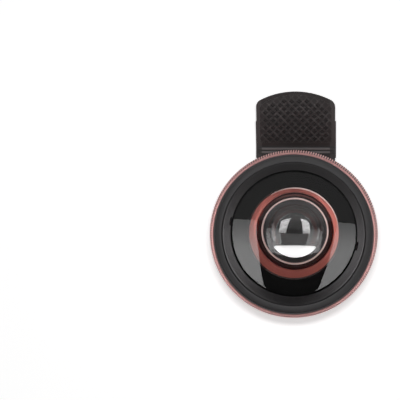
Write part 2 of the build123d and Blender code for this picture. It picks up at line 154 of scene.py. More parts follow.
def step_between(
    tree: bpy.types.NodeTree, value: bpy.types.NodeSocket, start: object, end: object
) -> bpy.types.NodeSocket:
    """Rises smoothly from 0 to 1 while a value goes from start to end.

    Args:
        tree: tree that gets the node.
        value: socket to follow.
        start: socket or number where the step starts.
        end: socket or number where it ends.

    Returns:
        The stepped value's socket.
    """
    node = tree.nodes.new("ShaderNodeMapRange")
    node.interpolation_type = "SMOOTHSTEP"
    for label, edge in (("From Min", start), ("From Max", end)):
        if isinstance(edge, (int, float)):
            node.inputs[label].default_value = edge
        else:
            tree.links.new(edge, node.inputs[label])
    tree.links.new(value, node.inputs["Value"])
    return node.outputs["Result"]


def own_place(tree: bpy.types.NodeTree) -> tuple[bpy.types.NodeSocket, bpy.types.Node]:
    """The piece's own coordinates, whole and split.

    Args:
        tree: tree that gets the nodes.

    Returns:
        The coordinate socket, and a node with X, Y and Z outputs.
    """
    place = tree.nodes.new("ShaderNodeTexCoord")
    split = tree.nodes.new("ShaderNodeSeparateXYZ")
    tree.links.new(place.outputs["Object"], split.inputs[0])
    return place.outputs["Object"], split


def reach_of(tree: bpy.types.NodeTree, split: bpy.types.Node) -> bpy.types.NodeSocket:
    """Distance from the optical axis.

    Args:
        tree: tree that gets the nodes.
        split: node with the coordinates split into X, Y and Z.

    Returns:
        The distance's socket.
    """
    across = reckon(tree, "MULTIPLY", split.outputs["X"], split.outputs["X"])
    along = reckon(tree, "MULTIPLY", split.outputs["Y"], split.outputs["Y"])
    return reckon(tree, "SQRT", reckon(tree, "ADD", across, along))


class Effects:
    """Shader groups that several finishes share, each built once."""

    patch_share: float = 0.04  # scale of the broad patches against that of the fine grain
    mark_climb: float = 1.7  # outward shift of the turning marks for each metre up a wall
    groove_sides: tuple[float, float] = (0.14, 0.44)  # floor and tip, in teeth from a groove's middle
    groove_blend: float = 0.25 * MM  # over which the painted groove shade fades in
    ridge_sides: tuple[float, float] = (0.05, 0.19)  # top and foot of a ridge, as shares of the pitch
    glint_levels: tuple[float, float] = (0.44, 0.7)  # noise at which a ridge has no painted glint, and a full one

    def __init__(self) -> None:
        """Builds the shared groups."""
        self.grain = self.build_grain()
        self.turning = self.build_turning()
        self.specks = self.build_specks()
        self.knurl = self.build_knurl_shade()
        self.ridges = self.build_ridge_highlights()

    def build_grain(self) -> bpy.types.NodeTree:
        """Fine irregular grain of a blasted or moulded skin.

        Returns:
            A group with Scale and Amount in, Height and Patch out.
        """
        group = new_group("Fine grain", (("Scale", 4000.0), ("Amount", 1.0)), ("Height", "Patch"))
        source, sink = group.nodes["Group Input"], group.nodes["Group Output"]
        place, _ = own_place(group)
        fine = group.nodes.new("ShaderNodeTexNoise")
        fine.inputs["Detail"].default_value = 4.0
        broad = group.nodes.new("ShaderNodeTexNoise")
        broad.inputs["Detail"].default_value = 2.0
        group.links.new(place, fine.inputs["Vector"])
        group.links.new(place, broad.inputs["Vector"])
        group.links.new(source.outputs["Scale"], fine.inputs["Scale"])
        coarse = reckon(group, "MULTIPLY", source.outputs["Scale"], self.patch_share)
        group.links.new(coarse, broad.inputs["Scale"])
        height = reckon(group, "MULTIPLY", fine.outputs["Fac"], source.outputs["Amount"])
        group.links.new(height, sink.inputs["Height"])
        group.links.new(broad.outputs["Fac"], sink.inputs["Patch"])
        return group

    def build_turning(self) -> bpy.types.NodeTree:
        """Fine circular tool marks about the optical axis.

        Returns:
            A group with Pitch and Amount in, Height and Tone out.
        """
        group = new_group("Turning marks", (("Pitch", 0.12 * MM), ("Amount", 1.0)), ("Height", "Tone"))
        source, sink = group.nodes["Group Input"], group.nodes["Group Output"]
        _, split = own_place(group)
        climb = reckon(group, "MULTIPLY", split.outputs["Z"], self.mark_climb)
        reach = reckon(group, "ADD", reach_of(group, split), climb)
        steps = reckon(group, "DIVIDE", reach, source.outputs["Pitch"])
        marks = group.nodes.new("ShaderNodeTexNoise")
        marks.noise_dimensions = "1D"
        marks.inputs["Scale"].default_value = 1.0
        marks.inputs["Detail"].default_value = 2.0
        group.links.new(steps, marks.inputs["W"])
        height = reckon(group, "MULTIPLY", marks.outputs["Fac"], source.outputs["Amount"])
        group.links.new(height, sink.inputs["Height"])
        group.links.new(marks.outputs["Fac"], sink.inputs["Tone"])
        return group

    def build_specks(self) -> bpy.types.NodeTree:
        """Sparse pale specks of dust.

        Returns:
            A group with Scale and Share in, Mask out.
        """
        group = new_group("Dust specks", (("Scale", 900.0), ("Share", 0.06)), ("Mask",))
        source, sink = group.nodes["Group Input"], group.nodes["Group Output"]
        place, _ = own_place(group)
        cells = group.nodes.new("ShaderNodeTexVoronoi")
        cells.inputs["Randomness"].default_value = 1.0
        group.links.new(place, cells.inputs["Vector"])
        group.links.new(source.outputs["Scale"], cells.inputs["Scale"])
        near = reckon(group, "LESS_THAN", cells.outputs["Distance"], source.outputs["Share"])
        group.links.new(near, sink.inputs["Mask"])
        return group

    def build_knurl_shade(self) -> bpy.types.NodeTree:
        """Painted shade in the grooves of a straight knurl.

        Returns:
            A group with Teeth and Start (radius where the grooves start) in, and the mask of the painted
            groove shade out.
        """
        group = new_group("Knurl groove shade", (("Teeth", RIM_TEETH), ("Start", 25.0 * MM)), ("GrooveShade",))
        source, sink = group.nodes["Group Input"], group.nodes["Group Output"]
        _, split = own_place(group)
        turn = reckon(group, "ARCTAN2", split.outputs["Y"], split.outputs["X"])
        teeth = reckon(group, "DIVIDE", reckon(group, "MULTIPLY", turn, source.outputs["Teeth"]), 2 * math.pi)
        share = reckon(group, "ABSOLUTE", reckon(group, "SUBTRACT", reckon(group, "FRACT", teeth), 0.5))
        groove = reckon(group, "SUBTRACT", 1.0, step_between(group, share, *self.groove_sides))
        beyond = reckon(group, "ADD", source.outputs["Start"], self.groove_blend)
        outside = step_between(group, reach_of(group, split), source.outputs["Start"], beyond)
        group.links.new(reckon(group, "MULTIPLY", groove, outside), sink.inputs["GrooveShade"])
        return group

    def build_ridge_highlights(self) -> bpy.types.NodeTree:
        """Painted highlights on the crossed ridges of a moulded grip, with brighter painted glints here and
        there along their tops.

        Returns:
            A group with Pitch and Start (metres, along Y) in, and the masks of the painted ridge highlight
            and of the painted glints out.
        """
        inputs = (("Pitch", 2.4 * MM), ("Start", 28.1 * MM))
        group = new_group("Crossed ridge highlights", inputs, ("LitRidges", "RidgeGlints"))
        source, sink = group.nodes["Group Input"], group.nodes["Group Output"]
        place, split = own_place(group)
        along = reckon(group, "SUBTRACT", split.outputs["Y"], source.outputs["Start"])
        ridges = []
        for kind in ("ADD", "SUBTRACT"):
            slant = reckon(group, kind, split.outputs["X"], along)
            turns = reckon(group, "DIVIDE", slant, source.outputs["Pitch"])
            offset = reckon(group, "ABSOLUTE", reckon(group, "SUBTRACT", reckon(group, "FRACT", turns), 0.5))
            ridges.append(reckon(group, "SUBTRACT", 1.0, step_between(group, offset, *self.ridge_sides)))
        lit_ridges = reckon(group, "MAXIMUM", *ridges)
        blotches = group.nodes.new("ShaderNodeTexNoise")
        blotches.inputs["Scale"].default_value = 900.0
        blotches.inputs["Detail"].default_value = 3.0
        group.links.new(place, blotches.inputs["Vector"])
        glints = step_between(group, blotches.outputs["Fac"], *self.glint_levels)
        group.links.new(lit_ridges, sink.inputs["LitRidges"])
        group.links.new(reckon(group, "MULTIPLY", lit_ridges, glints), sink.inputs["RidgeGlints"])
        return group


# Finishes


def scaled(colour: Colour, factor: float) -> Colour:
    """The colour made brighter or darker by a factor."""
    return tuple(min(1.0, part * factor) for part in colour)


@dataclass(frozen=True)
class Finish:
    """What every finish has: a name, a base colour and a roughness, with helpers to wire its nodes."""

    look: Look
    colour: Colour
    roughness: float

    def start(self) -> tuple[bpy.types.Material, bpy.types.Node]:
        """Makes the material and sets the plain values of its shader.

        Returns:
            The material and its Principled shader.
        """
        material = bpy.data.materials.new(self.look.value)
        material.use_nodes = True
        shader = material.node_tree.nodes["Principled BSDF"]
        shader.inputs["Base Color"].default_value = (*self.colour, 1.0)
        shader.inputs["Roughness"].default_value = self.roughness
        return material, shader

    @staticmethod
    def place(material: bpy.types.Material, group: bpy.types.NodeTree, **values: float) -> bpy.types.Node:
        """Puts a shared group in a material with its own values.

        Args:
            material: material that gets the group.
            group: shared shader group.
            values: numbers for the group's inputs, by name.

        Returns:
            The group node.
        """
        node = material.node_tree.nodes.new("ShaderNodeGroup")
        node.node_tree = group
        for label, value in values.items():
            node.inputs[label].default_value = value
        return node

    @staticmethod
    def bump(
        material: bpy.types.Material, height: bpy.types.NodeSocket, strength: float, depth: float
    ) -> None:
        """Feeds a height to the shader's normal through a Bump node.

        Args:
            material: material to change.
            height: socket that gives the height.
            strength: strength of the bump.
            depth: distance in metres that a height of one stands for.
        """
        tree = material.node_tree
        node = tree.nodes.new("ShaderNodeBump")
        node.inputs["Strength"].default_value = strength
        node.inputs["Distance"].default_value = depth
        tree.links.new(height, node.inputs["Height"])
        tree.links.new(node.outputs["Normal"], tree.nodes["Principled BSDF"].inputs["Normal"])

    @staticmethod
    def mix(
        material: bpy.types.Material, factor: bpy.types.NodeSocket, low: object, high: Colour
    ) -> bpy.types.NodeSocket:
        """Mixes two colours by a factor and feeds the result to Base Color.

        Args:
            material: material to change.
            factor: socket between 0 and 1.
            low: colour or colour socket at 0.
            high: colour at 1.

        Returns:
            The mixed colour's socket.
        """
        tree = material.node_tree
        node = tree.nodes.new("ShaderNodeMix")
        node.data_type = "RGBA"
        tree.links.new(factor, node.inputs[0])
        if isinstance(low, tuple):
            node.inputs[6].default_value = (*low, 1.0)
        else:
            tree.links.new(low, node.inputs[6])
        node.inputs[7].default_value = (*high, 1.0)
        tree.links.new(node.outputs[2], tree.nodes["Principled BSDF"].inputs["Base Color"])
        return node.outputs[2]

    @staticmethod
    def vary_roughness(
        material: bpy.types.Material, tone: bpy.types.NodeSocket, low: float, high: float
    ) -> None:
        """Lets a tone move the roughness between two values.

        Args:
            material: material to change.
            tone: socket between 0 and 1.
            low: roughness at 0.
            high: roughness at 1.
        """
        tree = material.node_tree
        node = tree.nodes.new("ShaderNodeMapRange")
        node.inputs["To Min"].default_value = low
        node.inputs["To Max"].default_value = high
        tree.links.new(tone, node.inputs["Value"])
        tree.links.new(node.outputs["Result"], tree.nodes["Principled BSDF"].inputs["Roughness"])


@dataclass(frozen=True)
class AnodisedMetal(Finish):
    """Turned aluminium, blasted and anodised: satin, with faint circular marks and painted shade in the knurl
    grooves.
    """

    metallic: float = 1.0
    marks: float = 0.25
    blasting: float = 0.6
    teeth: int = 0
    teeth_start: float = 0.0
    groove_shade: float = 0.05

    def make(self, effects: Effects) -> bpy.types.Material:
        """Builds the material.

        Args:
            effects: shared shader groups.

        Returns:
            The finished material.
        """
        material, shader = self.start()
        shader.inputs["Metallic"].default_value = self.metallic
        turning = self.place(material, effects.turning, Pitch=0.14 * MM, Amount=self.marks)
        grain = self.place(material, effects.grain, Scale=9000.0, Amount=self.blasting)
        height = reckon(material.node_tree, "ADD", turning.outputs["Height"], grain.outputs["Height"])
        self.bump(material, height, strength=0.35, depth=0.012 * MM)
        patch = grain.outputs["Patch"]
        self.vary_roughness(material, patch, low=0.85 * self.roughness, high=1.15 * self.roughness)
        dull, bright = scaled(self.colour, 0.92), scaled(self.colour, 1.06)
        tone = self.mix(material, turning.outputs["Tone"], dull, bright)
        if self.teeth:
            # painted shade: the knurl's grooves get a darker base colour
            knurl = self.place(material, effects.knurl, Teeth=self.teeth, Start=self.teeth_start)
            self.mix(material, knurl.outputs["GrooveShade"], tone, scaled(self.colour, self.groove_shade))
        return material


@dataclass(frozen=True)
class MouldedPlastic(Finish):
    """Black moulding with a fine spark-eroded skin, painted highlights on the ridges, ribs and sides, and a
    little lint.
    """

    grain: float = 0.5
    lint: float = 0.02
    gloss: float = 0.5
    # painted highlights: the next gain lightens the grip's ridge tops, and the one after it the glints and
    # the arm's sides
    ridge_gain: float = 0.0
    highlight_gain: float = 2.2
    # painted highlight on the ribs' tops: how much lighter they are
    rib_highlight_gain: float = 6.5
    rib_level: float = 0.0
    rib_end: float = 0.0
    # half-width of the arm at which the painted side highlight is full
    highlight_edge: float = 11.1 * MM

    def make(self, effects: Effects) -> bpy.types.Material:
        """Builds the material.

        Args:
            effects: shared shader groups.

        Returns:
            The finished material.
        """
        material, shader = self.start()
        shader.inputs["Specular IOR Level"].default_value = self.gloss
        grain = self.place(material, effects.grain, Scale=5200.0, Amount=self.grain)
        self.bump(material, grain.outputs["Height"], strength=0.5, depth=0.03 * MM)
        patch = grain.outputs["Patch"]
        self.vary_roughness(material, patch, low=self.roughness - 0.06, high=self.roughness + 0.08)
        tone = self.mix(material, patch, scaled(self.colour, 0.85), scaled(self.colour, 1.15))
        # painted highlight on the grip's ridge tops, and brighter painted glints on them
        if self.ridge_gain:
            ridge_light = self.place(material, effects.ridges)
            lit_ridges, glinting = (scaled(self.colour, gain * self.ridge_gain) for gain in (1.0, self.highlight_gain))
            tone = self.mix(material, ridge_light.outputs["LitRidges"], tone, lit_ridges)
            tone = self.mix(material, ridge_light.outputs["RidgeGlints"], tone, glinting)
        if self.rib_level:
            # painted highlight on the tops of the two ribs
            tone = self.mix(material, self.rib_highlight_mask(material), tone, scaled(self.colour, self.rib_highlight_gain))
            # painted highlight along the arm's long sides
            tone = self.mix(material, self.edge_highlight_mask(material), tone, scaled(self.colour, self.highlight_gain))
        if self.lint:
            specks = self.place(material, effects.specks, Scale=620.0, Share=self.lint)
            self.mix(material, specks.outputs["Mask"], tone, scaled(self.colour, 3.0))
        return material

    def edge_highlight_mask(self, material: bpy.types.Material) -> bpy.types.NodeSocket:
        """Painted highlight along both long sides of the arm.

        Args:
            material: material that gets the nodes.

        Returns:
            A mask that is 1 near the sides.
        """
        tree = material.node_tree
        _, split = own_place(tree)
        aside = reckon(tree, "ABSOLUTE", split.outputs["X"])
        return step_between(tree, aside, self.highlight_edge - 0.3 * MM, self.highlight_edge)

    def rib_highlight_mask(self, material: bpy.types.Material) -> bpy.types.NodeSocket:
        """Painted highlight on the tops of the two ribs across the arm.

        Args:
            material: material that gets the nodes.

        Returns:
            A mask that is 1 on the ribs.
        """
        tree = material.node_tree
        _, split = own_place(tree)
        above = step_between(tree, split.outputs["Z"], self.rib_level + 0.1 * MM, self.rib_level + 0.3 * MM)
        before = reckon(tree, "LESS_THAN", split.outputs["Y"], self.rib_end)
        return reckon(tree, "MULTIPLY", above, before)


@dataclass(frozen=True)
class Steel(Finish):
    """Drawn spring wire and ground pin."""

    def make(self, effects: Effects) -> bpy.types.Material:
        """Builds the material.

        Args:
            effects: shared shader groups.

        Returns:
            The finished material.
        """
        material, shader = self.start()
        shader.inputs["Metallic"].default_value = 1.0
        grain = self.place(material, effects.grain, Scale=7000.0, Amount=0.4)
        self.bump(material, grain.outputs["Height"], strength=0.3, depth=0.01 * MM)
        patch = grain.outputs["Patch"]
        self.vary_roughness(material, patch, low=self.roughness - 0.06, high=self.roughness + 0.1)
        self.mix(material, patch, scaled(self.colour, 0.9), scaled(self.colour, 1.08))
        return material


@dataclass(frozen=True)
class OpticalGlass(Finish):
    """Polished lens glass, coated or not; light from lamps passes it to what lies behind."""

    index: float = 1.52
    coat: float = 0.0
    coat_index: float = 1.5
    clearness: float = 0.92

    def make(self, effects: Effects) -> bpy.types.Material:
        """Builds the material.

        Args:
            effects: shared shader groups, not used by clean glass.

        Returns:
            The finished material.
        """
        material, shader = self.start()
        shader.inputs["IOR"].default_value = self.index
        shader.inputs["Transmission Weight"].default_value = 1.0
        shader.inputs["Coat Weight"].default_value = self.coat
        shader.inputs["Coat Roughness"].default_value = 0.0
        shader.inputs["Coat IOR"].default_value = self.coat_index
        tree = material.node_tree
        path = tree.nodes.new("ShaderNodeLightPath")
        clear = tree.nodes.new("ShaderNodeBsdfTransparent")
        clear.inputs["Color"].default_value = (self.clearness,) * 3 + (1.0,)
        either = tree.nodes.new("ShaderNodeMixShader")
        tree.links.new(path.outputs["Is Shadow Ray"], either.inputs["Fac"])
        tree.links.new(shader.outputs["BSDF"], either.inputs[1])
        tree.links.new(clear.outputs["BSDF"], either.inputs[2])
        tree.links.new(either.outputs["Shader"], tree.nodes["Material Output"].inputs["Surface"])
        return material


@dataclass
class Palette:
    """All finishes of the object, made once."""

    effects: Effects
    rose: Colour = (0.82, 0.45, 0.435)

    def __post_init__(self) -> None:
        """Makes each material."""
        metal, plastic = AnodisedMetal, MouldedPlastic
        finishes = (
            metal(Look.SATIN, self.rose, 0.34, metallic=0.85),
            metal(Look.RIM, self.rose, 0.34, metallic=0.85, teeth=RIM_TEETH, teeth_start=25.2 * MM),
            metal(Look.COLLAR, self.rose, 0.3, teeth=COLLAR_TEETH, teeth_start=15.6 * MM),
            metal(Look.TURNED, scaled(self.rose, 0.9), 0.2, marks=0.5, blasting=0.15),
            # painted shade: a darker, redder copy of the rose finish inside the wide barrel
            metal(Look.SHADED_BORE, (0.55, 0.155, 0.125), 0.32, metallic=0.8, marks=0.1, blasting=0.2),
            # painted shade: a much darker copy of the rose finish for the macro barrel's front face
            metal(Look.SHADED_FACE, (0.30, 0.11, 0.10), 0.07, marks=0.1, blasting=0.02),
            metal(Look.BRIGHT, (0.92, 0.70, 0.66), 0.3, metallic=0.25, marks=0.1, blasting=0.1),
            metal(Look.BLACK, (0.038, 0.0365, 0.0375), 0.42, metallic=0.0),
            # painted light: a lighter copy of the black finish for the stepped cone
            metal(Look.LIT_CONE, (0.1, 0.096, 0.098), 0.32, marks=0.4),
            plastic(Look.PAINT, (0.002, 0.002, 0.002), 0.8, grain=0.2, lint=0.0, gloss=0.0),
            OpticalGlass(Look.GLASS, (1.0, 1.0, 1.0), 0.0),
            OpticalGlass(Look.REAR_FACE, (1.0, 1.0, 1.0), 0.0, coat=1.0, coat_index=2.1),
            plastic(Look.PLASTIC, (0.016, 0.015, 0.015), 0.42, rib_level=11.8 * MM, rib_end=26.7 * MM),
            plastic(Look.GRIP, (0.0115, 0.0105, 0.0105), 0.5, grain=0.8, ridge_gain=2.0),
            plastic(Look.PAD, (0.012, 0.0115, 0.0115), 0.75, grain=1.0),
            Steel(Look.STEEL, (0.62, 0.61, 0.6), 0.28),
        )
        self.made = {finish.look: finish.make(self.effects) for finish in finishes}

    def get(self, *looks: Look) -> list[bpy.types.Material]:
        """The materials of these finishes, in order."""
        return [self.made[look] for look in looks]


# Mesh helpers

NEAR = 1e-7  # metres within which two radii count as one
STRAIGHT = 15.0  # degrees of turn below which a corner isn't rounded
SEAT_STEP = 0.015 * MM  # from the edge of a polished lens face back to its ground seat
GROOVE_RUN = 0.3 * MM  # height over which a knurl's grooves reach their depth from below
SIDEWAYS = 0.75  # a face of a lens is part of its edge where its normal's Z is smaller
FLANK = 2.6  # times its own depth that a thread's flank would drop in one pitch
FLAT = 0.15  # share of a thread's depth that is cut off its crest


def unit(value: float) -> float:
    """The value kept between 0 and 1."""
    return min(1.0, max(0.0, value))


def softened(corners: Sequence[Ring], radius: float, steps: int = 3) -> list[Ring]:
    """Rounds every sharp corner of a closed outline.

    Args:
        corners: corners of the outline as radius and height, in metres.
        radius: rounding radius in metres, limited by the sides' lengths.
        steps: stretches in each rounded corner.

    Returns:
        The outline with each sharp corner replaced by a short arc.
    """
    outline = []
    count = len(corners)
    for index, corner in enumerate(corners):
        here = Vector(corner)
        back = Vector(corners[index - 1]) - here
        ahead = Vector(corners[(index + 1) % count]) - here
        if math.degrees(back.angle(-ahead)) < STRAIGHT:
            outline.append(corner)
            continue
        reach = min(radius, 0.4 * back.length, 0.4 * ahead.length)
        start, end = here + back.normalized() * reach, here + ahead.normalized() * reach
        for step in range(steps + 1):
            share = step / steps
            point = start.lerp(here, share).lerp(here.lerp(end, share), share)
            outline.append((point.x, point.y))
    return outline


def in_metres(*corners: Ring) -> list[Ring]:
    """Corners given in millimetres, in metres."""
    return [(radius * MM, height * MM) for radius, height in corners]


def rows_between(start: Ring, end: Ring, count: int) -> list[Ring]:
    """Points that divide a straight stretch of an outline into equal rows, both ends kept."""
    return [tuple(Vector(start).lerp(Vector(end), row / count)) for row in range(count + 1)]


def spherical(vertex: float, curve: float, reach: float, direction: int, steps: int) -> list[Ring]:
    """Points of a spherical lens face from the axis to its rim.

    Args:
        vertex: height of the face on the axis, in metres.
        curve: radius of the sphere, in metres.
        reach: radius of the rim, in metres.
        direction: -1 where the rim lies below the vertex, 1 where it lies above.
        steps: stretches along the arc.

    Returns:
        The points as radius and height.
    """
    widest = math.asin(reach / curve)
    angles = [widest * step / steps for step in range(steps + 1)]
    return [(curve * math.sin(a), vertex + direction * curve * (1 - math.cos(a))) for a in angles]


def lens_section(
    front: list[Ring], rear: list[Ring], rim: float, bevel: float, *seats: float
) -> tuple[list[Ring], float]:
    """Outline of a lens, from its front pole round the bevelled rim to its rear pole.

    Args:
        front: points of the front face, from the axis outwards.
        rear: points of the rear face, from the axis outwards.
        rim: radius of the rim, in metres.
        bevel: size of the bevels at the rim.
        seats: further radii on the flat rear seat, from the rim inwards.

    Returns:
        The outline as radius and height, and the height half-way up the rim.
    """
    top, bottom = front[-1][1] - SEAT_STEP, rear[-1][1] + SEAT_STEP
    edge = [(front[-1][0], top), (rim - bevel, top), (rim, top - bevel), (rim, bottom + bevel)]
    edge += [(radius, bottom) for radius in (rim - bevel, *seats, rear[-1][0])]
    return front[:-1] + edge + rear[-2::-1], (top + bottom) / 2


def lathe(
    name: str,
    outline: Sequence[Ring],
    segments: int,
    sharp: float,
    shape: Rule | None = None,
    closed: bool = True,
) -> bpy.types.Object:
    """Turns an outline about the optical axis.

    Args:
        name: name of the new object.
        outline: radius and height of each point, in metres, in order round the section.
        segments: steps round the axis.
        sharp: edges sharper than this angle in degrees stay crisp.
        shape: optional rule that gives the radius from radius, height and angle.
        closed: whether the last point joins the first.

    Returns:
        The new object, linked to the scene.
    """
    mesh = bmesh.new()
    columns = []
    poles = {}
    for step in range(segments):
        angle = 2 * math.pi * step / segments
        column = []
        for index, (radius, height) in enumerate(outline):
            if radius < NEAR:
                if index not in poles:
                    poles[index] = mesh.verts.new((0.0, 0.0, height))
                column.append(poles[index])
                continue
            reach = shape(radius, height, angle) if shape else radius
            column.append(mesh.verts.new((reach * math.cos(angle), reach * math.sin(angle), height)))
        columns.append(column)
    count = len(outline)
    for step in range(segments):
        left, right = columns[step], columns[(step + 1) % segments]
        for index in range(count if closed else count - 1):
            after = (index + 1) % count
            corners = [left[index], right[index], right[after], left[after]]
            corners = [vert for at, vert in enumerate(corners) if vert not in corners[:at]]
            if len(corners) > 2:
                mesh.faces.new(corners)
    bmesh.ops.recalc_face_normals(mesh, faces=mesh.faces)
    return settle(name, mesh, sharp)


def settle(name: str, mesh: bmesh.types.BMesh, sharp: float) -> bpy.types.Object:
    """Turns a finished mesh into a smooth-shaded object in the scene.

    Args:
        name: name of the new object.
        mesh: mesh to use, freed here.
        sharp: edges sharper than this angle in degrees stay crisp.

    Returns:
        The new object.
    """
    data = bpy.data.meshes.new(name)
    mesh.to_mesh(data)
    mesh.free()
    data.shade_smooth()
    data.set_sharp_from_angle(angle=math.radians(sharp))
    piece = bpy.data.objects.new(name, data)
    bpy.context.scene.collection.objects.link(piece)
    return piece


def dress(piece: bpy.types.Object, *materials: bpy.types.Material) -> None:
    """Gives a piece its materials in place of any that it has.

    Args:
        piece: piece to dress.
        materials: materials for its slots, in order.
    """
    piece.data.materials.clear()
    for material in materials:
        piece.data.materials.append(material)


def paint(piece: bpy.types.Object, rule: Callable[[float, float, Vector], int]) -> None:
    """Picks a material slot for each face.

    Args:
        piece: piece with several materials.
        rule: gives the slot from the radius and height of a face's middle and its normal.
    """
    for face in piece.data.polygons:
        middle = face.center
        face.material_index = rule(math.hypot(middle.x, middle.y), middle.z, face.normal)


def stand_in(piece: bpy.types.Object, node: str, body: Body) -> None:
    """Lets a new piece stand for a node of the frame.

    Args:
        piece: the new piece.
        node: name of the node that it replaces.
        body: body that the node rides on.
    """
    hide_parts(node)
    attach(piece, body.value)
    LOG.info("%s stands for %s", piece.name, node)


def thread_dip(pitch: float, depth: float, turn: float, height: float) -> float:
    """How far a screw thread with flat crests and roots dips below its crest at one angle and height.

    Args:
        pitch: rise of the thread in one turn.
        depth: way from crest to root, below 0 where the root lies further in.
        turn: angle about the axis, in radians.
        height: place along the axis.

    Returns:
        A value between 0 at the crest and depth at the root.
    """
    share = (height / pitch - turn / (2 * math.pi)) % 1.0
    return depth * unit(FLANK * abs(share - 0.5) - FLAT)


def thread_rule(pitch: float, depth: float, *spans: tuple[float, float, float]) -> Rule:
    """Makes the rule that cuts screw threads into a turned wall.

    Args:
        pitch: rise of the thread in one turn.
        depth: way from crest to root, above 0 where the root lies further out.
        spans: for each thread its crest radius, and the two heights that it lies between.

    Returns:
        A rule that gives the radius from radius, height and angle.
    """

    def threaded(radius: float, height: float, angle: float) -> float:
        """Radius of the wall with the thread cut in."""
        cut = any(abs(radius - crest) < NEAR and low < height < high for crest, low, high in spans)
        return radius + (thread_dip(pitch, depth, angle, height) if cut else 0.0)

    return threaded


def knurl_rule(tip: float, end: float, teeth: int, depth: float, foot: float = 0.0) -> Rule:
    """Makes the rule that cuts a straight knurl into a turned outside.

    Args:
        tip: radius of the teeth's tips.
        end: radius on the chamfer at which the grooves have run out.
        teeth: number of teeth.
        depth: depth of the grooves.
        foot: height at which the grooves have run out below.

    Returns:
        A rule that gives the radius from radius, height and angle.
    """

    def knurled(radius: float, height: float, angle: float) -> float:
        """Radius of the outside with the grooves cut in."""
        share = unit((radius - end) / (tip - end)) * unit((height - foot) / GROOVE_RUN)
        turn = (angle * teeth / (2 * math.pi)) % 1.0
        return radius - share * depth * (1.0 - abs(2.0 * turn - 1.0))

    return knurled


# Sub-assemblies


